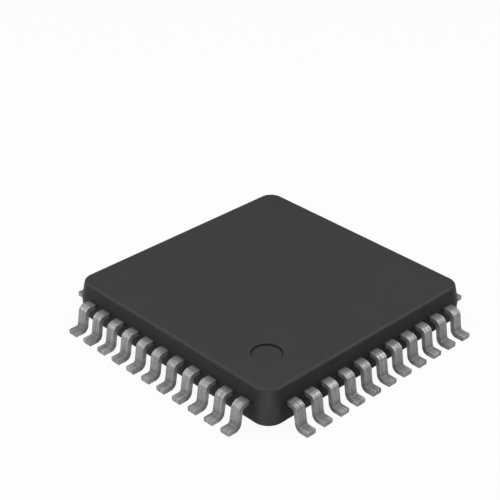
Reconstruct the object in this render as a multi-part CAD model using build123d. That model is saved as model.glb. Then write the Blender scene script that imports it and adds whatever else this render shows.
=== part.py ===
from build123d import *
import math
import os

# A 44-lead low-profile quad flat pack: an epoxy body moulded round a copper lead frame, which
# carries a silicon die on its pad and is wired to it.
# Millimetres. The origin is the centre of the seating plane, and +Z points up.
# Pin 1 is beside the -X, -Y corner, and the pins run anticlockwise seen from above.
# One side is worked out facing +X, with its row along +Y, and the four sides are turned copies.

# Rows of leads
leads_per_side = 11
pitch = 0.80                # between lead centres
row_end_to_side = 1.04      # last lead's centre to the body side round the corner

# Moulded body
top_half_height = 0.64      # parting line to the top face
bottom_half_height = 0.76   # parting line to the underside
standoff = 0.13             # seating plane to the underside
upper_draft = 13.0          # lean of the side walls above the parting line, degrees
lower_draft = 1.0           # their lean below it, which hardly shows
corner_radius = 0.66        # of the body's four upright corners, at the parting line
edge_fillet = 0.12          # radius round the top face and the underside

# Pin 1 mark, a shallow round recess with a sloping wall
mark_diameter = 1.10
mark_depth = 0.06
mark_wall_run = 0.03        # how far in the wall comes over that depth
mark_to_left = 1.74         # mark's centre to the -X side
mark_to_front = 1.84        # mark's centre to the -Y side

# Formed leads
lead_thickness = 0.18
lead_width = 0.40
lead_reach = 0.96           # body side to the tip
foot_length = 0.58          # tip to the back of the leg at the gauge height
gauge_height = 0.25
leg_lean = 9.0              # from upright, degrees
bend_radius = 0.100         # inside of both bends

# Leads inside the moulding
fan_setback = 0.30          # body side to where the leads start to fan in
tip_gap = 0.20              # between neighbouring inner tips
tip_to_pad = 0.25
tip_row_inset = 0.60        # pad's corner to the last tip's centre, along the side

# Die pad and its four tie bars
pad_width = 5.60
pad_downset = 0.20          # pad below the leads
tie_bar_width = 0.30
tie_bar_cover = 0.12        # moulding over a tie bar's end
downset_run = 0.20          # length of each tie bar's slope
downset_setback = 0.10      # pad's corner to the foot of that slope

# Silicon die and the glue under it
die_width = 4.20
die_thickness = 0.28
glue_thickness = 0.03
glue_spread = 0.06          # glue past the die's edge

# Bond wires
wire_size = 0.03
wire_to_edge = 0.13         # wire's foot to the die's edge
wire_row_inset = 0.40       # die's corner to the last wire's foot, along the side
loop_height = 0.15          # top of the loop above the die
landing_setback = 0.15      # where the wire lands, past the lead's inner tip

# Worked out from the sizes above
row_length = (leads_per_side - 1) * pitch
body_half = row_length / 2 + row_end_to_side
frame_level = standoff + bottom_half_height
lead_top = frame_level + lead_thickness / 2
lead_tip = body_half + lead_reach
fan_start = body_half - fan_setback
pad_half = pad_width / 2
pad_level = frame_level - pad_downset
inner_tip = pad_half + tip_to_pad
tip_pitch = (pad_width - 2 * tip_row_inset) / (leads_per_side - 1)
tip_width = tip_pitch - tip_gap
glue_bottom = pad_level + lead_thickness / 2
die_bottom = glue_bottom + glue_thickness
die_top = die_bottom + die_thickness
wire_pitch = (die_width - 2 * wire_row_inset) / (leads_per_side - 1)
side_turns = {"front": -90, "right": 0, "back": 90, "left": 180}


def place_in_row(index, spacing):
    """Where one of a side's leads, inner tips or wires lies along the side."""
    return (index - (leads_per_side - 1) / 2) * spacing


def shifted(path, distance):
    """A bent path moved to its left by a distance, with mitred corners."""
    points = [Vector(*point) for point in path]
    runs = [(after - before).normalized() for before, after in zip(points, points[1:])]
    normals = [Vector(-run.Y, run.X) for run in runs]
    pairs = zip([normals[0]] + normals, normals + [normals[-1]])
    return [point + (one + two) * (distance / (1 + one.dot(two))) for point, (one, two) in zip(points, pairs)]


def flat_strip(corners, width):
    """A strip that is seen edge on in the XZ plane as a straight-sided outline."""
    return extrude(Plane.XZ * make_face(Polyline(*corners, close=True)), width / 2, both=True)


# Body

def mould_half(height, lean, direction):
    """One half of the body, drafted from the parting line to its filleted outer face."""
    parting = Plane.XY.offset(frame_level)
    outline = Rectangle(2 * body_half, 2 * body_half)
    outline = fillet(outline.vertices(), corner_radius)
    half = extrude(parting * outline, height * direction)
    levels = half.faces().sort_by(Axis.Z)
    half = draft(levels[1:-1], parting, lean * direction)
    outer_face = half.faces().sort_by(Axis.Z)[-1 if direction > 0 else 0]
    return fillet(outer_face.edges(), edge_fillet)


def pin_mark():
    """The recess that marks pin 1, as the solid that is cut away."""
    lip = mark_diameter / 2
    height = frame_level + top_half_height - mark_depth / 2
    place = Pos(mark_to_left - body_half, mark_to_front - body_half, height)
    return place * Cone(lip - mark_wall_run, lip, mark_depth)


def moulded_body(contents):
    """The epoxy body, closed face to face round everything that it holds."""
    body = mould_half(top_half_height, upper_draft, 1) + mould_half(bottom_half_height, lower_draft, -1)
    return body - pin_mark() - contents


# Leads

def leg_centre(height):
    """How far out the middle of the sloping leg lies at a height."""
    lean = math.radians(leg_lean)
    half = lead_thickness / 2
    gauge_point = lead_tip - foot_length + half * math.cos(lean)
    return gauge_point + (gauge_height + half * math.sin(lean) - height) * math.tan(lean)


def formed_lead():
    """The gull wing: shoulder, bend, leg, bend and foot, starting straight inside the body."""
    foot_level = lead_thickness / 2
    knee, ankle = leg_centre(frame_level), leg_centre(foot_level)
    path = [(fan_start, frame_level), (knee, frame_level), (ankle, foot_level), (lead_tip, foot_level)]
    upper = shifted(path, lead_thickness / 2)
    lower = shifted(path, -lead_thickness / 2)
    outer_radius = bend_radius + lead_thickness
    outline = FilletPolyline(*upper, radius=[outer_radius, bend_radius])
    outline += FilletPolyline(*lower, radius=[bend_radius, outer_radius])
    outline += Line(upper[0], lower[0]) + Line(upper[-1], lower[-1])
    return extrude(Plane.XZ * make_face(outline), lead_width / 2, both=True)


def inner_lead(index):
    """The flat lead inside the moulding, which narrows as it fans in to its tip."""
    centre, tip = place_in_row(index, pitch), place_in_row(index, tip_pitch)
    corners = [(fan_start, centre + lead_width / 2), (inner_tip, tip + tip_width / 2),
               (inner_tip, tip - tip_width / 2), (fan_start, centre - lead_width / 2)]
    plan = Plane.XY.offset(frame_level) * make_face(Polyline(*corners, close=True))
    return extrude(plan, lead_thickness / 2, both=True)


def lead(index):
    """One whole lead of the side that faces +X."""
    return Pos(0, place_in_row(index, pitch), 0) * formed_lead() + inner_lead(index)


# Die pad, die and glue

def tie_bar():
    """The bar from the pad to one corner of the body, laid along +X, with its downset slope."""
    slope_start = pad_half * math.sqrt(2) + downset_setback
    corner_reach = (body_half - corner_radius) * math.sqrt(2) + corner_radius
    path = [(pad_half, pad_level), (slope_start, pad_level),
            (slope_start + downset_run, frame_level), (corner_reach - tie_bar_cover, frame_level)]
    outline = shifted(path, lead_thickness / 2) + shifted(path, -lead_thickness / 2)[::-1]
    return flat_strip(outline, tie_bar_width)


def die_pad():
    """The square pad that carries the die, with a tie bar from each corner."""
    pad = Pos(0, 0, pad_level) * Box(pad_width, pad_width, lead_thickness)
    bar = tie_bar()
    for turn in side_turns.values():
        pad += Rot(0, 0, turn + 45) * bar
    return pad


def square_layer(width, bottom, thickness):
    """A square layer of the stack in the middle of the chip."""
    return Pos(0, 0, bottom + thickness / 2) * Box(width, width, thickness)


# Bond wires

def lead_centre_line(index, out):
    """Where the middle of a fanned lead lies along the side, at a distance out from the centre."""
    tip, straight = place_in_row(index, tip_pitch), place_in_row(index, pitch)
    return tip + (straight - tip) * (out - inner_tip) / (fan_start - inner_tip)


def bond_wire(index):
    """A wire that rises off the die and slopes down to its lead, with both ends cut flush."""
    foot = Vector(die_width / 2 - wire_to_edge, place_in_row(index, wire_pitch))
    landing = inner_tip + landing_setback
    across = Vector(landing, lead_centre_line(index, landing)) - foot
    drop = die_top + loop_height - lead_top
    path = [(0, die_top), (0, lead_top + drop), (across.length, lead_top)]
    left, right = shifted(path, wire_size / 2), shifted(path, -wire_size / 2)
    flush = wire_size / 2 * math.hypot(across.length, drop) / drop
    left[-1] = Vector(across.length + flush, lead_top)
    right[-1] = Vector(across.length - flush, lead_top)
    turn = math.degrees(math.atan2(across.Y, across.X))
    return Pos(foot.X, foot.Y, 0) * Rot(0, 0, turn) * flat_strip(left + right[::-1], wire_size)


# Whole chip

def make_parts():
    """Every piece by its name, with the pins numbered anticlockwise from the front side."""
    parts = {}
    row = [lead(index) for index in range(leads_per_side)]
    for turn in side_turns.values():
        for piece in row:
            parts[f"lead_{len(parts) + 1:02d}"] = Rot(0, 0, turn) * piece
    parts["die_pad"] = die_pad()
    parts["die_attach"] = square_layer(die_width + 2 * glue_spread, glue_bottom, glue_thickness)
    parts["silicon_die"] = square_layer(die_width, die_bottom, die_thickness)
    contents = list(parts.values())
    wires = [bond_wire(index) for index in range(leads_per_side)]
    for side, turn in side_turns.items():
        turned = [Rot(0, 0, turn) * wire for wire in wires]
        contents += turned
        parts[f"bond_wires_{side}"] = Compound(children=turned)
    parts["moulded_body"] = moulded_body(contents)
    return parts


os.makedirs("parts", exist_ok=True)
for name, piece in make_parts().items():
    export_step(piece, f"parts/{name}.step")
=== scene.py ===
"""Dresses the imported 44-lead quad flat pack: moulded skin, formed leads, wires, finishes, light and camera.

Sizes are in millimetres and become metres when a mesh is made. The front side faces -Y and +Z is up.
A place in a side's row is measured along the side, and "out" is the distance from the chip's centre.
"""

from __future__ import annotations

import logging
import math
from dataclasses import dataclass, field
from enum import Enum
from typing import Union

import bpy
import numpy as np
from mathutils import Matrix, Vector


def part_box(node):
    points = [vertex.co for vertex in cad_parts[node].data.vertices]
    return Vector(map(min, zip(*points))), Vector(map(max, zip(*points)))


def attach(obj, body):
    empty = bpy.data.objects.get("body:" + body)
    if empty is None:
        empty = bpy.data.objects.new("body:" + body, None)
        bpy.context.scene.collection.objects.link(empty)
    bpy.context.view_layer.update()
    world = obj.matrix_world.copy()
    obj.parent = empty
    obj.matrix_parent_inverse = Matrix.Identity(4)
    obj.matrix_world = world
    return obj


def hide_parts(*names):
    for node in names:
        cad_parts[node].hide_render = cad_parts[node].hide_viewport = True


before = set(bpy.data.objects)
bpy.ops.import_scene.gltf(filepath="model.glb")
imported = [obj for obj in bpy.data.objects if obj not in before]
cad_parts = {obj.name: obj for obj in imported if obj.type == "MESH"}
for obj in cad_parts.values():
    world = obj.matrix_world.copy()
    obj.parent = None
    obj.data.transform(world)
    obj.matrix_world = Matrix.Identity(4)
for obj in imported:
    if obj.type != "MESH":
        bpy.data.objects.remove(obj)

LOG = logging.getLogger("chip")
MM = 0.001
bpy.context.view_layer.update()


# Surfaces

@dataclass
class Skin:
    """A closed surface: rings of points stacked along a line, with a pole at each end.

    Ring points turn right-handed about the direction of the stack, which makes the faces point outwards.
    """

    rings: np.ndarray
    start_pole: np.ndarray
    end_pole: np.ndarray

    def points(self) -> np.ndarray:
        """All points, in millimetres: the rings in order, then the two poles."""
        return np.vstack([self.rings.reshape(-1, 3), self.start_pole, self.end_pole])

    def faces(self, first: int = 0) -> list[list[int]]:
        """Quads between neighbouring rings and a fan of triangles round each pole.

        Point c of ring r has the index r * around + c, and c + 1 wraps round the ring.

        Args:
            first: The index that this skin's first point gets in the mesh.

        Returns:
            The point indices of each face.
        """
        count, around = self.rings.shape[:2]
        here = np.arange(around)
        after = (here + 1) % around
        row = first + around * np.arange(count - 1)[:, None]
        quads = np.stack([row + here, row + after, row + around + after, row + around + here], axis=-1)
        pole = first + count * around
        last_ring = first + around * (count - 1)
        start_fan = np.stack([np.full(around, pole), first + after, first + here], axis=-1)
        end_fan = np.stack([last_ring + here, last_ring + after, np.full(around, pole + 1)], axis=-1)
        return quads.reshape(-1, 4).tolist() + start_fan.tolist() + end_fan.tolist()

    def turned(self, degrees: float) -> Skin:
        """The same skin turned about the chip's upright axis.

        A row (x, y) becomes (x cos - y sin, x sin + y cos).

        Args:
            degrees: The turn, anticlockwise seen from above.

        Returns:
            The turned skin.
        """
        angle = math.radians(degrees)
        cos, sin = math.cos(angle), math.sin(angle)
        spin = np.array([[cos, sin, 0.0], [-sin, cos, 0.0], [0.0, 0.0, 1.0]])
        return Skin(self.rings @ spin, self.start_pole @ spin, self.end_pole @ spin)


def add_piece(name: str, skins: list[Skin], crease: float, material: bpy.types.Material,
              node: str) -> bpy.types.Object:
    """Makes one shown piece from closed skins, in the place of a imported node.

    Args:
        name: The piece's name.
        skins: Its closed surfaces.
        crease: Edges sharper than this many degrees are shaded as edges.
        material: Its finish.
        node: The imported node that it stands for.

    Returns:
        The new object.
    """
    points: list[np.ndarray] = []
    faces: list[list[int]] = []
    for skin in skins:
        faces += skin.faces(sum(len(part) for part in points))
        points.append(skin.points())
    mesh = bpy.data.meshes.new(name)
    mesh.from_pydata((np.vstack(points) * MM).tolist(), [], faces)
    mesh.shade_smooth()
    mesh.set_sharp_from_angle(angle=math.radians(crease))
    mesh.materials.append(material)
    mesh.validate()
    piece = bpy.data.objects.new(name, mesh)
    bpy.context.scene.collection.objects.link(piece)
    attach(piece, "root")
    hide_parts(node)
    LOG.info("%s: %d points, %d faces, for %s", name, len(mesh.vertices), len(mesh.polygons), node)
    return piece


# Shader maths

Triple = tuple[float, float, float]
Colour = Triple
Edge = tuple[float, float]    # a soft step, as the value where it starts and its width
Value = Union[float, "Number"]


class Number:
    """A number that a shader works out at each point, with Python's own operators."""

    def __init__(self, tree: ShaderTree, socket: bpy.types.NodeSocket) -> None:
        """Wraps an output socket of a node tree."""
        self.tree = tree
        self.socket = socket

    def _math(self, operation: str, first: Value, second: Value = 0.0) -> Number:
        """One Math node on two values."""
        return self.tree.number("ShaderNodeMath", {"operation": operation}, {0: first, 1: second})

    def __add__(self, other: Value) -> Number:
        """self + other."""
        return self._math("ADD", self, other)

    def __radd__(self, other: Value) -> Number:
        """other + self."""
        return self._math("ADD", other, self)

    def __sub__(self, other: Value) -> Number:
        """self - other."""
        return self._math("SUBTRACT", self, other)

    def __rsub__(self, other: Value) -> Number:
        """other - self."""
        return self._math("SUBTRACT", other, self)

    def __mul__(self, other: Value) -> Number:
        """self * other."""
        return self._math("MULTIPLY", self, other)

    def __rmul__(self, other: Value) -> Number:
        """other * self."""
        return self._math("MULTIPLY", other, self)

    def absolute(self) -> Number:
        """The number without its sign."""
        return self._math("ABSOLUTE", self)

    def above(self, edge: float, width: float) -> Number:
        """A soft step: 0 up to the edge, 1 past the edge and the width, and a straight slope between."""
        ramp = (self - edge) * (1.0 / width)
        return ramp._math("MINIMUM", ramp._math("MAXIMUM", ramp, 0.0), 1.0)


class ShaderTree:
    """A node tree, emptied, with one way to add nodes to it."""

    def __init__(self, tree: bpy.types.NodeTree) -> None:
        """Takes over a node tree."""
        self.tree = tree
        self.tree.nodes.clear()

    def _fill(self, socket: bpy.types.NodeSocket, source: object) -> None:
        """Links a socket to a source, or sets it to a value.

        Args:
            socket: An input socket.
            source: A Number, an output socket or a value.
        """
        source = source.socket if isinstance(source, Number) else source
        if isinstance(source, bpy.types.NodeSocket):
            self.tree.links.new(source, socket)
        else:
            socket.default_value = source

    def node(self, kind: str, settings: dict[str, object], inputs: dict[object, object]) -> bpy.types.Node:
        """Adds a node.

        Args:
            kind: The node's type.
            settings: Its properties, which are set first.
            inputs: Values or links of its input sockets, by name or number.

        Returns:
            The node.
        """
        made = self.tree.nodes.new(kind)
        for key, value in settings.items():
            setattr(made, key, value)
        for key, value in inputs.items():
            self._fill(made.inputs[key], value)
        return made

    def number(self, kind: str, settings: dict[str, object], inputs: dict[object, object],
               output: object = 0) -> Number:
        """Adds a node as node() does and wraps one of its outputs, by name or number."""
        return Number(self, self.node(kind, settings, inputs).outputs[output])

    def ray(self, *kinds: str) -> Number:
        """A number that tells rays apart.

        Args:
            kinds: Outputs of the Light Path node.

        Returns:
            1 for rays of those kinds and 0 for others.
        """
        rays = self.node("ShaderNodeLightPath", {}, {})
        first, *others = (Number(self, rays.outputs[kind]) for kind in kinds)
        return sum(others, first)


class Finish(ShaderTree):
    """A material with one Principled shader, and the ways to feed it."""

    def __init__(self, name: str, **constants: float) -> None:
        """Starts the material.

        Args:
            name: The material's name.
            constants: Values that are the same all over, by socket name with _ for a space.
        """
        self.material = bpy.data.materials.new(name)
        self.material.use_nodes = True
        super().__init__(self.material.node_tree)
        self.shader = self.node("ShaderNodeBsdfPrincipled", {},
                                {key.replace("_", " "): value for key, value in constants.items()})
        self.output = self.node("ShaderNodeOutputMaterial", {}, {"Surface": self.shader.outputs[0]})

    def place(self, stretch: Triple = (1.0, 1.0, 1.0), turn: float = 0.0) -> bpy.types.NodeSocket:
        """A point's place in the chip, in millimetres.

        Args:
            stretch: What the place is multiplied by along each axis.
            turn: A turn about the upright axis before that, in radians.

        Returns:
            The place as a vector.
        """
        where = self.node("ShaderNodeTexCoord", {}, {}).outputs["Object"]
        if turn:
            turned = self.node("ShaderNodeMapping", {}, {"Vector": where, "Rotation": (0.0, 0.0, turn)})
            where = turned.outputs[0]
        scale = tuple(part / MM for part in stretch)
        return self.node("ShaderNodeMapping", {}, {"Vector": where, "Scale": scale}).outputs[0]

    def along(self, axis: str) -> Number:
        """A point's place along the X, Y or Z axis, in millimetres."""
        return self.number("ShaderNodeSeparateXYZ", {}, {0: self.place()}, axis)

    def noise(self, where: bpy.types.NodeSocket, scale: float, detail: float = 2.0,
              rough: float = 0.5) -> Number:
        """Smooth noise around 0.5.

        Args:
            where: The place.
            scale: Bumps to a unit of the place.
            detail: How many times finer bumps are added.
            rough: How strong each finer layer is beside the one before.

        Returns:
            The noise.
        """
        return self.number("ShaderNodeTexNoise", {"noise_dimensions": "3D"},
                           {"Vector": where, "Scale": scale, "Detail": detail, "Roughness": rough})

    def mix(self, share: Value, first: object, second: object) -> bpy.types.NodeSocket:
        """A colour between two.

        Args:
            share: 0 for the first and 1 for the second.
            first: A colour or a socket.
            second: The other one.

        Returns:
            The mixed colour.
        """
        colours = [(*part, 1.0) if isinstance(part, tuple) else part for part in (first, second)]
        made = self.node("ShaderNodeMix", {"data_type": "RGBA"}, {0: share, 6: colours[0], 7: colours[1]})
        return made.outputs[2]

    def relief(self, height: Number, depth: float) -> bpy.types.NodeSocket:
        """A bump whose full height is a depth in millimetres."""
        return self.node("ShaderNodeBump", {}, {"Height": height, "Distance": depth * MM}).outputs[0]

    def feed(self, **sources: object) -> bpy.types.Material:
        """Links the shader's sockets and returns the material.

        Args:
            sources: What feeds each socket, by the socket's name with _ for a space.

        Returns:
            The material.
        """
        for key, source in sources.items():
            self._fill(self.shader.inputs[key.replace("_", " ")], source)
        return self.material


# Finishes

@dataclass(frozen=True)
class MouldCompound:
    """Dark grey epoxy as it leaves a spark-eroded mould: matte, finely grained, a little cloudy.

    The four flat side walls are darker than both faces and the corners by painted shade, and so is the wall
    of the pin 1 mark, by painted shade in its recess. The body says where these are, in millimetres.
    """

    mark_centre: Triple
    mark_floor_edge: Edge
    mark_lip_edge: Edge
    wall_foot: Edge
    wall_head: Edge
    wall_depth: Edge
    corner: Edge
    painted_shade: Colour = (0.004, 0.004, 0.004)
    dark: Colour = (0.030, 0.030, 0.030)
    pale: Colour = (0.042, 0.042, 0.042)
    filler: Colour = (0.075, 0.075, 0.075)
    filler_share: float = 0.5
    filler_level: Edge = (0.66, 0.08)
    filler_per_mm: float = 27.2
    roughness: float = 0.50
    specular: float = 0.45
    grain_per_mm: float = 16.0
    grain_depth: float = 0.004
    grain_share: float = 0.4
    grain_roughness: float = 0.16
    cloud_per_mm: float = 0.35
    cloud_roughness: float = 0.06
    mark_roughness: float = 0.4
    wall_shade_share: float = 0.85
    wall_roughness: float = 0.10

    def material(self) -> bpy.types.Material:
        """Clouds between two greys, pale specks of filler, the grain as bump, and painted shade on the walls
        and in the mark.

        Returns:
            The material.
        """
        finish = Finish("mould_compound", IOR=1.5, Specular_IOR_Level=self.specular)
        where = finish.place()
        clouds = finish.noise(where, self.cloud_per_mm, 3.0)
        grain = finish.noise(where, self.grain_per_mm, 3.0, 0.6)
        specks = finish.noise(where, self.filler_per_mm, 1.0).above(*self.filler_level)
        tone = clouds * (1.0 - self.grain_share) + grain * self.grain_share
        body = finish.mix(tone, self.dark, self.pale)
        mark = self._painted_mark_shade(finish, where)
        walls = self._painted_wall_shade(finish)
        face = finish.mix(specks * self.filler_share, body, self.filler)
        # Painted shade: the flat side walls are mixed towards a near-black grey.
        dressed = finish.mix(walls * self.wall_shade_share, face, self.painted_shade)
        # Painted shade: the wall of the pin 1 mark is mixed towards the same near-black grey.
        colour = finish.mix(mark, dressed, self.painted_shade)
        rough = self.roughness + (grain - 0.5) * self.grain_roughness + (clouds - 0.5) * self.cloud_roughness
        rough = rough + mark * self.mark_roughness + walls * self.wall_roughness
        return finish.feed(Base_Color=colour, Roughness=rough, Normal=finish.relief(grain, self.grain_depth))

    def _painted_mark_shade(self, finish: Finish, where: bpy.types.NodeSocket) -> Number:
        """Where painted shade goes: 1 on the wall of the pin 1 mark and 0 elsewhere, by the distance from the
        mark's centre.

        Args:
            finish: The material that it is for.
            where: A point's place in the chip.

        Returns:
            The number.
        """
        away = finish.number("ShaderNodeVectorMath", {"operation": "DISTANCE"},
                             {0: where, 1: self.mark_centre}, "Value")
        return away.above(*self.mark_floor_edge) * (1.0 - away.above(*self.mark_lip_edge))

    def _painted_wall_shade(self, finish: Finish) -> Number:
        """Where painted shade goes: 1 on the flat side walls and 0 on the faces and at the corners, with soft
        edges.

        It is 1 between the walls' foot and head and near a side, and fades where both sides of a corner
        are near.

        Args:
            finish: The material that it is for.

        Returns:
            The number.
        """
        height = finish.along("Z")
        band = height.above(*self.wall_foot) * (1.0 - height.above(*self.wall_head))
        across, along = (finish.along(axis).absolute() for axis in ("X", "Y"))
        inside = (1.0 - across.above(*self.wall_depth)) * (1.0 - along.above(*self.wall_depth))
        corner = across.above(*self.corner) * along.above(*self.corner)
        return band * (1.0 - inside) * (1.0 - corner)


class RowAxis(Enum):
    """The axis that a side's row of leads runs along, across which the rolled strip's streaks vary."""

    X = "x"
    Y = "y"

    @property
    def outward(self) -> str:
        """The name of the axis that the row's leads point along."""
        return "Y" if self is RowAxis.X else "X"


@dataclass(frozen=True)
class TinPlate:
    """Satin tin over rolled copper strip, with fine streaks along each lead.

    It has painted shade beside the mould, is rubbed brighter over the knee by the forming tool, has painted
    shade and a duller, rougher finish in the crook of the ankle and is more strongly streaked on the foot.
    The places are distances out and heights.
    """

    row: RowAxis
    dull: Colour = (0.175, 0.175, 0.173)
    bright: Colour = (0.544, 0.544, 0.537)
    painted_mould_shade: Colour = (0.097, 0.097, 0.095)
    metallic: float = 0.60
    roughness: float = 0.40
    streaks_per_mm: float = 15.0
    drift_per_mm: float = 0.6
    grain_per_mm: float = 22.0
    patches_per_mm: float = 2.3
    middle_range: Edge = (0.28, 0.44)
    streak_share: float = 0.52
    foot_streak_share: float = 0.40
    grain_share: float = 0.54
    patch_share: float = 0.08
    streak_roughness: float = 0.12
    patch_roughness: float = 0.10
    relief_depth: float = 0.0016
    relief_streak_share: float = 0.6
    mould_shade_out: Edge = (4.96, 0.06)
    mould_shade_end_out: Edge = (5.04, 0.10)
    mould_shade_share: float = 0.8
    knee_out: Edge = (5.22, 0.20)
    knee_height: Edge = (0.70, 0.16)
    knee_metallic: float = 0.12
    knee_smoothness: float = 0.025
    leg_out: Edge = (5.40, 0.06)
    foot_out: Edge = (5.68, 0.12)
    crook_height: Edge = (0.26, 0.14)
    crook_shade_share: float = 0.5
    crook_dullness: float = 0.25

    def material(self) -> bpy.types.Material:
        """Noise that is fine across the row and slow along the lead, over a fine matte grain and the wear.

        The streaks and the grain are stretched from their middle range to 0 to 1, so that both greys are
        reached. The shine is 0.5 where every noise is.

        Returns:
            The material.
        """
        finish = Finish(f"tin_plate_row_{self.row.value}")
        fine, slow = self.streaks_per_mm, self.drift_per_mm
        stretch = (fine, slow, slow) if self.row is RowAxis.X else (slow, fine, slow)
        streaks = finish.noise(finish.place(stretch), 1.0, 2.0, 0.6).above(*self.middle_range)
        grain = finish.noise(finish.place(), self.grain_per_mm, 2.0).above(*self.middle_range)
        patches = finish.noise(finish.place(), self.patches_per_mm, 2.0)
        mould_shade, knee, crook, foot = self._wear_and_shade(finish)
        shine = (streaks - 0.5) * (self.streak_share + foot * self.foot_streak_share)
        shine = shine + grain * self.grain_share + patches * self.patch_share
        shine = shine + 0.5 * (1.0 - self.grain_share - self.patch_share)
        # Painted shade: in the crook of the ankle the plate is mixed towards the dull grey.
        plate = finish.mix(crook * self.crook_shade_share, finish.mix(shine, self.dull, self.bright), self.dull)
        # Painted shade: beside the mould the plate is mixed towards a darker grey.
        colour = finish.mix(mould_shade * self.mould_shade_share, plate, self.painted_mould_shade)
        metal = self.metallic + knee * self.knee_metallic - crook * self.crook_dullness
        rough = self.roughness + (0.5 - streaks) * self.streak_roughness
        rough = rough + (patches - 0.5) * self.patch_roughness
        rough = rough - knee * self.knee_smoothness + crook * self.crook_dullness
        height = streaks * self.relief_streak_share + grain * (1.0 - self.relief_streak_share)
        return finish.feed(Base_Color=colour, Metallic=metal, Roughness=rough,
                           Normal=finish.relief(height, self.relief_depth))

    def _wear_and_shade(self, finish: Finish) -> tuple[Number, Number, Number, Number]:
        """The painted shade and the wear along a lead.

        Args:
            finish: The material that they are for.

        Returns:
            The painted shade beside the mould, the rubbed knee, the ankle's crook with its painted shade and
            the foot, each 1 there and 0 elsewhere.
        """
        out, height = finish.along(self.row.outward).absolute(), finish.along("Z")
        mould_shade = out.above(*self.mould_shade_out) * (1.0 - out.above(*self.mould_shade_end_out))
        knee = out.above(*self.knee_out) * height.above(*self.knee_height)
        foot = out.above(*self.foot_out)
        # The crook of the ankle, where painted shade goes and the finish is duller and rougher.
        crook = (1.0 - foot) * (1.0 - height.above(*self.crook_height)) * out.above(*self.leg_out)
        return mould_shade, knee, crook, foot


@dataclass(frozen=True)
class RolledCopper:
    """Bare copper sheet with the fine grain of its rolling."""

    shadow: Colour = (0.52, 0.23, 0.13)
    light: Colour = (0.76, 0.38, 0.24)
    roughness: float = 0.34
    rolling_stretch: Triple = (26.0, 0.8, 0.8)
    rolling_roughness: float = 0.2
    rolling_depth: float = 0.002
    stains_per_mm: float = 0.7
    stain_roughness: float = 0.15

    def material(self) -> bpy.types.Material:
        """Rolling grain along one diagonal, and slow stains of oxide.

        Returns:
            The material.
        """
        finish = Finish("rolled_copper", Metallic=1.0)
        rolling = finish.noise(finish.place(self.rolling_stretch, turn=math.pi / 4), 1.0, 3.0, 0.6)
        stains = finish.noise(finish.place(), self.stains_per_mm, 3.0)
        colour = finish.mix(rolling * 0.5 + stains * 0.5, self.shadow, self.light)
        rough = self.roughness + (rolling - 0.5) * self.rolling_roughness
        rough = rough + (stains - 0.5) * self.stain_roughness
        return finish.feed(Base_Color=colour, Roughness=rough,
                           Normal=finish.relief(rolling, self.rolling_depth))


@dataclass(frozen=True)
class SilverGlue:
    """Cured glue full of silver flakes."""

    resin: Colour = (0.42, 0.42, 0.40)
    flakes: Colour = (0.66, 0.66, 0.64)
    roughness: float = 0.62
    flakes_per_mm: float = 28.0
    flake_level: Edge = (0.50, 0.12)
    flake_metallic: float = 0.8
    flake_smoothness: float = 0.2
    swells_per_mm: float = 1.5
    swell_depth: float = 0.006

    def material(self) -> bpy.types.Material:
        """Flakes as spots of a fine noise, which are paler, more metallic and smoother than the resin.

        Returns:
            The material.
        """
        finish = Finish("silver_glue")
        flakes = finish.noise(finish.place(), self.flakes_per_mm, 1.0).above(*self.flake_level)
        swell = finish.noise(finish.place(), self.swells_per_mm, 2.0)
        return finish.feed(Base_Color=finish.mix(flakes, self.resin, self.flakes),
                           Metallic=flakes * self.flake_metallic,
                           Roughness=self.roughness - flakes * self.flake_smoothness,
                           Normal=finish.relief(swell, self.swell_depth))


@dataclass(frozen=True)
class PolishedSilicon:
    """Silicon with the faint rectangular blocks of a finished circuit on it."""

    bare: Colour = (0.13, 0.14, 0.18)
    circuit: Colour = (0.24, 0.22, 0.26)
    tracks: Colour = (0.42, 0.38, 0.30)
    metallic: float = 0.35
    roughness: float = 0.14
    block_pattern: Triple = (1.7, 0.62, 0.37)
    block_share: float = 0.7
    track_pattern: Triple = (14.0, 0.9, 0.28)
    track_share: float = 0.35
    track_roughness: float = 0.12
    cloud_per_mm: float = 0.9
    cloud_share: float = 0.3
    cloud_roughness: float = 0.05

    def material(self) -> bpy.types.Material:
        """Two brick patterns, of large blocks and of fine tracks, on slightly clouded silicon.

        Returns:
            The material.
        """
        finish = Finish("polished_silicon", Metallic=self.metallic)
        blocks = self._bricks(finish, *self.block_pattern)
        tracks = self._bricks(finish, *self.track_pattern)
        clouds = finish.noise(finish.place(), self.cloud_per_mm, 2.0)
        tone = blocks * self.block_share + clouds * self.cloud_share
        base = finish.mix(tone, self.bare, self.circuit)
        rough = self.roughness + tracks * self.track_roughness + clouds * self.cloud_roughness
        return finish.feed(Base_Color=finish.mix(tracks * self.track_share, base, self.tracks),
                           Roughness=rough)

    @staticmethod
    def _bricks(finish: Finish, per_mm: float, width: float, height: float) -> Number:
        """Staggered rectangles whose shade differs from one to the next.

        Args:
            finish: The material that they are for.
            per_mm: The pattern's units to a millimetre.
            width: A rectangle's width in those units.
            height: Its height in those units.

        Returns:
            The shade.
        """
        settings = {"offset": 0.37, "squash": 1.6, "squash_frequency": 3}
        inputs = {"Vector": finish.place(), "Color1": (0.0, 0.0, 0.0, 1.0), "Color2": (1.0, 1.0, 1.0, 1.0),
                  "Mortar": (0.3, 0.3, 0.3, 1.0), "Scale": per_mm, "Mortar Size": 0.03,
                  "Brick Width": width, "Row Height": height}
        return finish.number("ShaderNodeTexBrick", settings, inputs, "Color")


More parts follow.
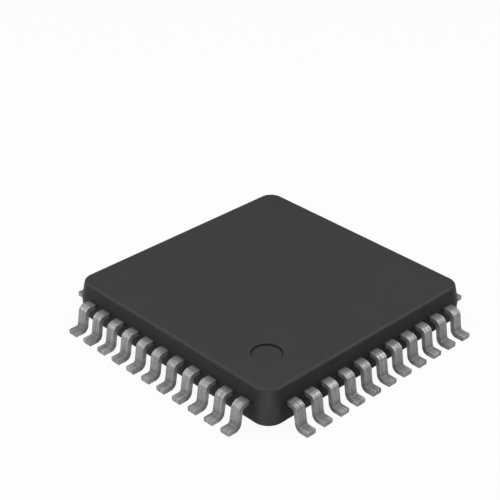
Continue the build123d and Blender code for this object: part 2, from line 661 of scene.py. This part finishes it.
@dataclass(frozen=True)
class DrawnGold:
    """Fine gold wire."""

    deep: Colour = (0.72, 0.46, 0.12)
    light: Colour = (0.94, 0.70, 0.28)
    roughness: float = 0.2
    tone_per_mm: float = 3.0
    grain_per_mm: float = 70.0
    grain_roughness: float = 0.12
    grain_depth: float = 0.0004

    def material(self) -> bpy.types.Material:
        """Slow changes of tone along the wire and a faint draw grain.

        Returns:
            The material.
        """
        finish = Finish("drawn_gold", Metallic=1.0)
        tone = finish.noise(finish.place(), self.tone_per_mm, 2.0)
        grain = finish.noise(finish.place(), self.grain_per_mm, 2.0)
        return finish.feed(Base_Color=finish.mix(tone, self.deep, self.light),
                           Roughness=self.roughness + grain * self.grain_roughness,
                           Normal=finish.relief(grain, self.grain_depth))


def dress_node(node: str, material: bpy.types.Material) -> None:
    """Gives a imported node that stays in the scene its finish.

    Args:
        node: The node's name.
        material: Its finish.
    """
    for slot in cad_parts[node].material_slots:
        slot.material = material
    LOG.info("%s: packed solid, dressed in %s", node, material.name)


# Moulded body

@dataclass
class MouldedBody:
    """The epoxy body as one closed skin, from the middle of its underside to the middle of the pin 1 mark.

    Every ring is the outline at the parting line moved inwards along its own normals by an inset. Where the
    rings lie is given as shares of the way along each stretch.
    """

    parting: float = 0.89
    top_draft: float = 13.0
    bottom_draft: float = 1.0
    corner_radius: float = 0.66
    rim_radius: float = 0.12
    mark_radius: float = 0.55
    mark_floor_radius: float = 0.52
    mark_depth: float = 0.06
    mark_centre: tuple[float, float] = (-3.30, -3.20)
    lip_radius: float = 0.012
    wall_steps: int = 64
    corner_steps: int = 24
    rim_points: int = 11
    wall_shares: tuple[float, ...] = (0.0, 0.04, 0.3, 0.65, 0.96)
    under_shares: tuple[float, ...] = (0.3, 0.7, 0.95, 0.995)
    face_shares: tuple[float, ...] = (0.01, 0.05, 0.25, 0.5, 0.75, 0.93, 1.0)
    lip_shares: tuple[tuple[float, float], ...] = ((0.35, 0.12), (0.75, 0.45))
    mark_wall_shares: tuple[float, ...] = (0.02, 0.5)
    mark_foot_shares: tuple[tuple[float, float], ...] = ((0.1, 0.12), (-0.1, 0.02), (-0.4, 0.0))
    shade_depth: float = 0.40
    shade_floor_inset: float = 0.01
    crease: float = 12.0
    half_width: float = field(init=False)
    bottom: float = field(init=False)
    top: float = field(init=False)
    outline: np.ndarray = field(init=False)
    normals: np.ndarray = field(init=False)

    def __post_init__(self) -> None:
        """Takes the body's box from the frame and works out its outline."""
        low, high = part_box("moulded_body")
        self.half_width, self.bottom, self.top = high.x / MM, low.z / MM, high.z / MM
        self.outline, self.normals = self._outline()

    def _outline(self) -> tuple[np.ndarray, np.ndarray]:
        """A square with rounded corners.

        One quarter is the wall at x = half and an arc of 90 degrees, where a point is the arc's centre plus
        the radius times its normal. The other quarters are it turned by 90, 180 and 270 degrees.

        Returns:
            The points of the outline and its outward normals, each as rows of x and y.
        """
        end = self.half_width - self.corner_radius
        wall = np.linspace(-end, end, self.wall_steps, endpoint=False)
        arc = np.linspace(0.0, math.pi / 2, self.corner_steps, endpoint=False)
        angle = np.concatenate([np.zeros_like(wall), arc])
        normal = np.stack([np.cos(angle), np.sin(angle)], axis=-1)
        centre_y = np.concatenate([wall, np.full_like(arc, end)])
        centre = np.stack([np.full_like(angle, end), centre_y], axis=-1)
        quarter_turn = np.array([[0.0, 1.0], [-1.0, 0.0]])
        points, normals = [centre + self.corner_radius * normal], [normal]
        for _ in range(3):
            points.append(points[-1] @ quarter_turn)
            normals.append(normals[-1] @ quarter_turn)
        return np.vstack(points), np.vstack(normals)

    def _half_profile(self, height: float, draft: float) -> tuple[np.ndarray, np.ndarray]:
        """Inset and height above the parting line, up one drafted wall and round its rim.

        The wall leans in by the tangent of the draft. The rim is an arc about a centre one radius below the
        face and one radius inside the wall, from the wall's normal to straight up.

        Args:
            height: From the parting line to the face.
            draft: The wall's lean in degrees.

        Returns:
            The insets and the heights of the profile's points.
        """
        lean, radius = math.radians(draft), self.rim_radius
        level = height - radius
        centre = (radius + level * math.sin(lean)) / math.cos(lean)
        angle = np.linspace(lean, math.pi / 2, self.rim_points)
        arc_inset, arc_rise = centre - radius * np.cos(angle), level + radius * np.sin(angle)
        share = np.array(self.wall_shares)
        return np.append(share * arc_inset[0], arc_inset), np.append(share * arc_rise[0], arc_rise)

    def _ring(self, inset: float, height: float) -> np.ndarray:
        """The outline moved inwards by an inset, at a height."""
        flat = self.outline - inset * self.normals
        return np.column_stack([flat, np.full(len(flat), height)])

    def _mark_rings(self, edge: np.ndarray) -> list[np.ndarray]:
        """The top face from its rim to the mark, and the mark from its rounded lip to its floor.

        Each ring point stays on the straight line from the rim point to the mark's centre. The lip comes in
        and drops by shares of its radius. The wall has a point just under the lip and one halfway, and its
        foot rounds into the floor by shares of the wall's run and depth.

        Args:
            edge: The ring where the rim meets the top face.

        Returns:
            The rings in order.
        """
        centre = np.array([*self.mark_centre, 0.0])
        out = edge - centre
        out[:, 2] = 0.0
        reach = np.linalg.norm(out, axis=1, keepdims=True)
        out = out / reach
        rings = []
        lip = self.mark_radius + self.lip_radius
        for share in self.face_shares:
            ring = centre + out * (reach + (lip - reach) * share)
            rings.append(ring + [0.0, 0.0, self.top])
        floor = self.top - self.mark_depth
        run = self.mark_radius - self.mark_floor_radius
        wall_start, wall_middle = self.mark_wall_shares
        steps = [(lip - inwards * self.lip_radius, self.top - down * self.lip_radius)
                 for inwards, down in self.lip_shares]
        steps += [(self.mark_radius - wall_start * run, self.top - self.lip_radius),
                  (self.mark_radius - wall_middle * run, self.top - wall_middle * self.mark_depth)]
        steps += [(self.mark_floor_radius + outwards * run, floor + up * self.mark_depth)
                  for outwards, up in self.mark_foot_shares]
        steps.append((self.mark_floor_radius / 2, floor))
        for radius, height in steps:
            rings.append(centre + out * radius + [0.0, 0.0, height])
        return rings

    def skin(self) -> Skin:
        """The whole closed skin: the underside, both drafted walls, the top face and the mark.

        Returns:
            The skin.
        """
        low_inset, low_rise = self._half_profile(self.parting - self.bottom, self.bottom_draft)
        high_inset, high_rise = self._half_profile(self.top - self.parting, self.top_draft)
        under = self._ring(low_inset[-1], self.bottom)
        rings = [under * [share, share, 1.0] for share in self.under_shares]
        insets = np.concatenate([low_inset[::-1], high_inset[1:]])
        rises = np.concatenate([-low_rise[::-1], high_rise[1:]])
        rings += [self._ring(inset, self.parting + rise) for inset, rise in zip(insets, rises)]
        rings += self._mark_rings(rings[-1])
        floor = np.array([*self.mark_centre, self.top - self.mark_depth])
        return Skin(np.array(rings), np.array([0.0, 0.0, self.bottom]), floor)

    def build(self) -> None:
        """Makes the piece and dresses it in the compound, which is told where the walls and the mark are, for
        its painted shade.
        """
        finish = MouldCompound(
            mark_centre=(*self.mark_centre, self.top),
            mark_floor_edge=(self.mark_floor_radius - self.shade_floor_inset, 0.010),
            mark_lip_edge=(self.mark_radius, 0.008),
            wall_foot=(self.bottom, 0.06),
            wall_head=(self.top - self.rim_radius, 0.10),
            wall_depth=(self.half_width - self.shade_depth, 0.10),
            corner=(self.half_width - self.corner_radius, 0.30),
        )
        add_piece("moulded_skin", [self.skin()], self.crease, finish.material(),
                  "moulded_body")


# Formed leads

@dataclass
class LeadFrame:
    """The 44 leads, each a bar with rounded edges carried along its own bent path.

    A support is how far from a bend or an edge an extra ring or point keeps the flat next to it flat.
    """

    leads_per_side: int = 11
    pitch: float = 0.80
    thickness: float = 0.18
    foot_length: float = 0.58
    gauge_height: float = 0.25
    lean: float = 9.0
    bend_radius: float = 0.10
    inner_tip_pitch: float = 0.44
    inner_tip_width: float = 0.24
    fan_start_out: float = 4.74
    edge_radius: float = 0.015
    end_round: float = 0.014
    end_share: float = 0.3
    arc_steps: int = 10
    corner_steps: int = 3
    support: float = 0.012
    fan_support: float = 0.02
    crease: float = 40.0
    turns: tuple[float, ...] = (-90.0, 0.0, 90.0, 180.0)
    inner_tip_out: float = field(init=False)
    tip_out: float = field(init=False)
    width: float = field(init=False)
    level: float = field(init=False)

    def __post_init__(self) -> None:
        """Takes the middle lead's reach, width and height from the frame."""
        low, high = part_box("lead_17")
        self.inner_tip_out, self.tip_out, self.width = low.x / MM, high.x / MM, 2 * high.y / MM
        self.level = high.z / MM - self.thickness / 2

    def place(self, index: int, spacing: float) -> float:
        """Where a lead or its inner tip lies along the side."""
        return (index - (self.leads_per_side - 1) / 2) * spacing

    def middle(self, index: int, out: np.ndarray) -> np.ndarray:
        """Where a lead's middle line lies along the side, at distances out: it fans in to the inner tip."""
        tip, straight = self.place(index, self.inner_tip_pitch), self.place(index, self.pitch)
        return np.interp(out, [self.inner_tip_out, self.fan_start_out], [tip, straight])

    def _leg_out(self, height: float) -> float:
        """How far out the middle of the sloping leg lies at a height.

        The foot's length is measured from the tip to the back of the leg at the gauge height, and from there
        the leg comes in by the tangent of its lean for each millimetre up.

        Args:
            height: The height above the seating plane.

        Returns:
            The distance out.
        """
        lean, half = math.radians(self.lean), self.thickness / 2
        at_gauge = self.tip_out - self.foot_length + half * math.cos(lean)
        return at_gauge + (self.gauge_height + half * math.sin(lean) - height) * math.tan(lean)

    def _path(self) -> np.ndarray:
        """The middle line of a lead in its upright plane.

        It is a level run, an arc that turns down about a centre below it, the straight leg, and an arc that
        turns level again about a centre above it. On the upper arc a point is the knee plus the radius times
        (sin t, cos t - 1), where t is the turn from level, and on the lower arc the ankle less the radius
        times (sin t, cos t - 1). The upper face's normal is (sin t, cos t) everywhere.

        Returns:
            Rows of distance out, height and turn.
        """
        radius, foot = self.bend_radius + self.thickness / 2, self.thickness / 2
        full = math.pi / 2 - math.radians(self.lean)
        tangent = radius * math.tan(full / 2)
        knee, ankle = self._leg_out(self.level) - tangent, self._leg_out(foot) + tangent
        turn = np.linspace(0.0, full, self.arc_steps + 1)
        drop = radius * (1 - np.cos(turn))
        down = np.stack([knee + radius * np.sin(turn), self.level - drop, turn], axis=-1)
        level = np.stack([ankle - radius * np.sin(turn), foot + drop, turn], axis=-1)[::-1]
        along = (level[0, :2] - down[-1, :2]) / np.linalg.norm(level[0, :2] - down[-1, :2])
        leg = [[*(down[-1, :2] + along * self.support), full],
               [*(level[0, :2] - along * self.support), full]]
        inner = [self.inner_tip_out, self.inner_tip_out + self.end_share * self.end_round,
                 self.inner_tip_out + self.end_round, self.fan_start_out - self.fan_support,
                 self.fan_start_out + self.fan_support, knee - self.support]
        outer = [ankle + self.support, self.tip_out - self.end_round,
                 self.tip_out - self.end_share * self.end_round, self.tip_out]
        before = [[out, self.level, 0.0] for out in inner]
        after = [[out, foot, 0.0] for out in outer]
        return np.vstack([before, down, leg, level, after])

    def _section(self) -> tuple[np.ndarray, np.ndarray]:
        """A bar's rounded section as signs and offsets.

        A point is sign * (half size - edge radius) + offset. The offsets run round the arc of each corner,
        with a point a little before and after it on the flat.

        Returns:
            The signs and the offsets, each as rows across and up.
        """
        signs, offsets = [], []
        arc = np.linspace(0.0, math.pi / 2, self.corner_steps + 1)
        for quarter, sign in enumerate([(1, 1), (-1, 1), (-1, -1), (1, -1)]):
            angle = arc + quarter * math.pi / 2
            ring = self.edge_radius * np.stack([np.cos(angle), np.sin(angle)], axis=-1)
            before = ring[0] + self.support * np.array([math.sin(angle[0]), -math.cos(angle[0])])
            after = ring[-1] + self.support * np.array([-math.sin(angle[-1]), math.cos(angle[-1])])
            offsets += [before, *ring, after]
            signs += [sign] * (len(ring) + 2)
        return np.array(signs, float), np.array(offsets)

    def skin(self, index: int) -> Skin:
        """One lead of the side that faces +X.

        Across the row, the middle and the width go from the inner tip's to the lead's over the fan. The
        section shrinks over the first two steps and the last two of the path, which rounds the ends.

        Args:
            index: The lead's number in its row, from 0.

        Returns:
            The lead's skin.
        """
        out, height, turn = self._path().T
        middle = self.middle(index, out)
        half_width = np.interp(out, [self.inner_tip_out, self.fan_start_out],
                               [self.inner_tip_width / 2, self.width / 2])
        rounding = self.end_round * np.array([1.0, self.end_share])
        inset = np.concatenate([rounding, np.zeros(len(out) - 4), rounding[::-1]])
        signs, offsets = self._section()
        across = signs[:, 0] * (half_width - self.edge_radius - inset)[:, None] + offsets[:, 0]
        up = signs[:, 1] * (self.thickness / 2 - self.edge_radius - inset)[:, None] + offsets[:, 1]
        rings = np.stack([out[:, None] + up * np.sin(turn)[:, None], middle[:, None] + across,
                          height[:, None] + up * np.cos(turn)[:, None]], axis=-1)
        return Skin(rings, rings[0].mean(axis=0), rings[-1].mean(axis=0))

    def build(self) -> None:
        """Makes the leads in pin order, front, right, back and left, and dresses them."""
        plates = {axis: TinPlate(axis).material() for axis in RowAxis}
        row = [self.skin(index) for index in range(self.leads_per_side)]
        for side, turn in enumerate(self.turns):
            axis = RowAxis.X if side % 2 == 0 else RowAxis.Y
            for index, skin in enumerate(row):
                pin = side * self.leads_per_side + index + 1
                add_piece(f"formed_lead_{pin:02d}", [skin.turned(turn)], self.crease, plates[axis],
                          f"lead_{pin:02d}")


# Bond wires

@dataclass
class BondWires:
    """The 44 gold wires. Each stands on a flattened ball on the die and ends in a wedge on its lead.

    The ball is given as heights above the die and radii.
    """

    leads: LeadFrame
    wire_to_edge: float = 0.13
    row_inset: float = 0.40
    loop_height: float = 0.15
    landing_setback: float = 0.15
    radius: float = 0.0125
    loop_round: float = 0.11
    wedge_round: float = 0.05
    wedge_length: float = 0.07
    wedge_half_width: float = 0.022
    wedge_half_height: float = 0.004
    wedge_share: float = 0.85
    wedge_steps: int = 5
    curve_points: int = 9
    around: int = 10
    crease: float = 60.0
    ball: tuple[tuple[float, float], ...] = ((0.0, 0.026), (0.003, 0.033), (0.009, 0.037), (0.015, 0.035),
                                             (0.020, 0.026), (0.024, 0.016), (0.032, 0.0125))
    groups: tuple[str, ...] = ("front", "right", "back", "left")
    die_half: float = field(init=False)
    die_top: float = field(init=False)

    def __post_init__(self) -> None:
        """Takes the die's edge and top from the frame."""
        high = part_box("silicon_die")[1]
        self.die_half, self.die_top = high.x / MM, high.z / MM

    def _rounded(self, before: np.ndarray, corner: np.ndarray, after: np.ndarray,
                 reach: float) -> np.ndarray:
        """A corner rounded over a reach along both of its runs.

        With a and b that far from the corner on the runs, and s from 0 to 1, the curve is
        (1-s)^2 a + 2 s (1-s) corner + s^2 b.

        Args:
            before: The point before the corner.
            corner: The corner.
            after: The point after it.
            reach: How far along each run the curve starts.

        Returns:
            The curve's points.
        """
        start = corner + (before - corner) / np.linalg.norm(before - corner) * reach
        end = corner + (after - corner) / np.linalg.norm(after - corner) * reach
        share = np.linspace(0.0, 1.0, self.curve_points)[:, None]
        return (1 - share) ** 2 * start + 2 * share * (1 - share) * corner + share ** 2 * end

    def skin(self, index: int) -> Skin:
        """One wire of the side that faces +X: an ellipse carried along the wire's path.

        The path lies in the upright plane through the wire's two ends, as distance along and height. A point
        is the path's, plus the half width times cos a across the plane, plus the half height times sin a
        along the path's own normal.

        Args:
            index: The wire's number in its row, from 0.

        Returns:
            The wire's skin.
        """
        spacing = 2 * (self.die_half - self.row_inset) / (self.leads.leads_per_side - 1)
        foot = np.array([self.die_half - self.wire_to_edge, self.leads.place(index, spacing)])
        land = self.leads.inner_tip_out + self.landing_setback
        across = np.array([land, self.leads.middle(index, land)]) - foot
        length = np.linalg.norm(across)
        lead_top = self.leads.level + self.leads.thickness / 2
        stack = np.array([[0.0, self.die_top + rise] for rise, _ in self.ball])
        top = np.array([0.0, self.die_top + self.loop_height])
        heel = np.array([length - self.wedge_length, lead_top + self.radius])
        toe = np.array([length, lead_top + self.wedge_half_height])
        wedge = heel + (toe - heel) * np.array([[self.wedge_share], [1.0]])
        path = np.vstack([stack, self._rounded(stack[-1], top, heel, self.loop_round),
                          self._rounded(top, heel, toe, self.wedge_round), wedge])
        plain = np.full(len(path) - len(stack) - self.wedge_steps, self.radius)
        ball = [size for _, size in self.ball]
        wide, high = (np.concatenate([ball, plain, np.linspace(self.radius, end, self.wedge_steps)])
                      for end in (self.wedge_half_width, self.wedge_half_height))
        ahead = np.gradient(path, axis=0)
        ahead /= np.linalg.norm(ahead, axis=1, keepdims=True)
        angle = np.linspace(0.0, 2 * math.pi, self.around, endpoint=False)
        side, up = wide[:, None] * np.cos(angle), high[:, None] * np.sin(angle)
        along = path[:, 0, None] - up * ahead[:, 1, None]
        height = path[:, 1, None] + up * ahead[:, 0, None]
        way = across / length
        rings = np.stack([foot[0] + along * way[0] - side * way[1], foot[1] + along * way[1] + side * way[0],
                          height], axis=-1)
        return Skin(rings, rings[0].mean(axis=0), rings[-1].mean(axis=0))

    def build(self) -> None:
        """Makes one piece of the 11 wires of each side and dresses it."""
        gold = DrawnGold().material()
        row = [self.skin(index) for index in range(self.leads.leads_per_side)]
        for group, turn in zip(self.groups, self.leads.turns):
            skins = [skin.turned(turn) for skin in row]
            add_piece(f"gold_wires_{group}", skins, self.crease, gold, f"bond_wires_{group}")


# Stage, light and camera

@dataclass(frozen=True)
class SoftBox:
    """A square lamp that faces the chip. Level 1 lights a white sheet that faces it to white."""

    name: str
    azimuth: float
    elevation: float
    size: float
    level: float
    distance: float = 60.0

    def build(self) -> None:
        """Places the lamp. Its power is the level times pi squared and the distance in metres squared."""
        around, up = math.radians(self.azimuth), math.radians(self.elevation)
        way = Vector((math.sin(around) * math.cos(up), -math.cos(around) * math.cos(up), math.sin(up)))
        lamp = bpy.data.lights.new(self.name, "AREA")
        lamp.size = self.size * MM
        lamp.energy = self.level * (math.pi * self.distance * MM) ** 2
        box = bpy.data.objects.new(self.name, lamp)
        box.location = way * self.distance * MM
        box.rotation_mode = "QUATERNION"
        box.rotation_quaternion = way.to_track_quat("Z", "Y")
        bpy.context.scene.collection.objects.link(box)


@dataclass
class Studio:
    """A pale floor that reaches out of sight, soft boxes and an even sky.

    A glow is the share of plain white in the floor. In mirrored rays it goes from the first value, in front
    of the chip and to its right, to the second, behind it and to its left.
    """

    floor_half: float = 400.0
    floor_drop: float = 0.002
    paper: Colour = (0.50, 0.50, 0.50)
    paper_pale: Colour = (0.54, 0.54, 0.54)
    paper_seen: Colour = (0.95, 0.95, 0.95)
    paper_roughness: float = 0.9
    paper_cloud_per_mm: float = 0.8
    seen_glow: float = 0.94
    mirrored_glow: tuple[float, float] = (0.31, 0.67)
    glow_turn: Edge = (-3.0, 6.0)
    sky: float = 0.178
    boxes: tuple[SoftBox, ...] = (
        SoftBox("front_box", -45.0, 14.0, 16.0, 0.091),
        SoftBox("front_low_box", -45.0, 5.0, 40.0, 0.135),
        SoftBox("left_box", -135.0, 25.0, 35.0, 0.175),
        SoftBox("left_high_box", -135.0, 60.0, 40.0, 0.076),
        SoftBox("left_front_box", -95.0, 30.0, 40.0, 0.075),
        SoftBox("right_box", 45.0, 22.0, 18.0, 0.088),
        SoftBox("right_narrow_box", 57.0, 44.0, 13.0, 0.069),
        SoftBox("right_high_box", 45.0, 60.0, 40.0, 0.107),
        SoftBox("back_left_box", 180.0, 50.0, 30.0, 0.054),
        SoftBox("back_right_box", 90.0, 50.0, 30.0, 0.042),
        SoftBox("back_box", 135.0, 33.0, 50.0, 0.010),
        SoftBox("overhead_box", -45.0, 90.0, 80.0, 0.343),
    )

    def _floor(self) -> None:
        """The floor. Its glow makes it the white background and leaves the shadow faintly on it."""
        half, down = self.floor_half * MM, -self.floor_drop * MM
        corners = [(-half, -half, down), (half, -half, down), (half, half, down), (-half, half, down)]
        mesh = bpy.data.meshes.new("floor")
        mesh.from_pydata(corners, [], [(0, 1, 2, 3)])
        finish = Finish("floor_paper", Roughness=self.paper_roughness)
        clouds = finish.noise(finish.place(), self.paper_cloud_per_mm, 3.0)
        sheet = finish.mix(clouds, self.paper, self.paper_pale)
        seen, mirrored = finish.ray("Is Camera Ray"), finish.ray("Is Glossy Ray", "Is Transmission Ray")
        finish.feed(Base_Color=finish.mix(seen, sheet, self.paper_seen))
        front, left = self.mirrored_glow
        leftward = (finish.along("Y") - finish.along("X")).above(*self.glow_turn)
        share = seen * self.seen_glow + mirrored * (front + leftward * (left - front))
        white = finish.node("ShaderNodeEmission", {}, {"Color": (1.0, 1.0, 1.0, 1.0), "Strength": 1.0})
        blend = finish.node("ShaderNodeMixShader", {},
                            {0: share, 1: finish.shader.outputs[0], 2: white.outputs[0]})
        finish.tree.links.new(blend.outputs[0], finish.output.inputs["Surface"])
        mesh.materials.append(finish.material)
        floor = bpy.data.objects.new("floor", mesh)
        bpy.context.scene.collection.objects.link(floor)

    def _sky(self) -> None:
        """An even white sky, which the camera sees at full white."""
        world = bpy.data.worlds.new("sky")
        world.use_nodes = True
        tree = ShaderTree(world.node_tree)
        strength = self.sky + tree.ray("Is Camera Ray") * (1.0 - self.sky)
        shade = tree.node("ShaderNodeBackground", {}, {"Color": (1.0, 1.0, 1.0, 1.0), "Strength": strength})
        tree.node("ShaderNodeOutputWorld", {}, {"Surface": shade.outputs[0]})
        bpy.context.scene.world = world

    def build(self) -> None:
        """Lays the floor and sets the sky, the lamps and the view transform."""
        self._floor()
        self._sky()
        for box in self.boxes:
            box.build()
        bpy.context.scene.view_settings.view_transform = "Standard"
        LOG.info("studio: floor, sky and %d soft boxes", len(self.boxes))


@dataclass
class PhotoCamera:
    """The camera that was fitted to the photograph's outlines, in a frame of 500 x 500 pixels."""

    azimuth: float = -44.85
    elevation: float = 33.10
    roll: float = 0.51
    distance: float = 49.02
    focal_pixels: float = 1329.8
    centre_x: float = 269.7
    centre_y: float = 315.4
    aim_height: float = 0.027
    frame_pixels: float = 500.0
    sensor: float = 36.0
    far_clip: float = 10000.0

    def build(self) -> None:
        """Places the camera: it looks at a point over the seating plane's centre from azimuth and elevation.

        The lens turns the focal length in pixels into the sensor's width, and the shift moves the frame so
        that the looked-at point falls on the fitted pixel.
        """
        around, up, roll = (math.radians(value) for value in (self.azimuth, self.elevation, self.roll))
        back = Vector((math.sin(around) * math.cos(up), -math.cos(around) * math.cos(up), math.sin(up)))
        right = Vector((math.cos(around), math.sin(around), 0.0))
        above = back.cross(right)
        turned_right = math.cos(roll) * right + math.sin(roll) * above
        turned_above = math.cos(roll) * above - math.sin(roll) * right
        lens = bpy.data.cameras.new("photo_camera")
        lens.sensor_width = self.sensor
        lens.lens = self.focal_pixels / self.frame_pixels * self.sensor
        lens.shift_x = (self.frame_pixels / 2 - self.centre_x) / self.frame_pixels
        lens.shift_y = (self.centre_y - self.frame_pixels / 2) / self.frame_pixels
        lens.clip_start, lens.clip_end = MM, self.far_clip * MM
        camera = bpy.data.objects.new("photo_camera", lens)
        turn = Matrix((turned_right, turned_above, back)).transposed().to_4x4()
        place = (back * self.distance + Vector((0.0, 0.0, self.aim_height))) * MM
        camera.matrix_world = Matrix.Translation(place) @ turn
        bpy.context.scene.collection.objects.link(camera)
        bpy.context.scene.camera = camera
        LOG.info("camera: lens %.1f mm, shift %.4f, %.4f", lens.lens, lens.shift_x, lens.shift_y)


def main() -> None:
    """Builds the camera, the chip's pieces and the studio, in that order."""
    logging.basicConfig(level=logging.INFO, format="%(name)s %(message)s")
    leads = LeadFrame()
    for part in (PhotoCamera(), MouldedBody(), leads, BondWires(leads)):
        part.build()
    dress_node("die_pad", RolledCopper().material())
    dress_node("die_attach", SilverGlue().material())
    dress_node("silicon_die", PolishedSilicon().material())
    Studio().build()


if __name__ == "__main__":
    main()
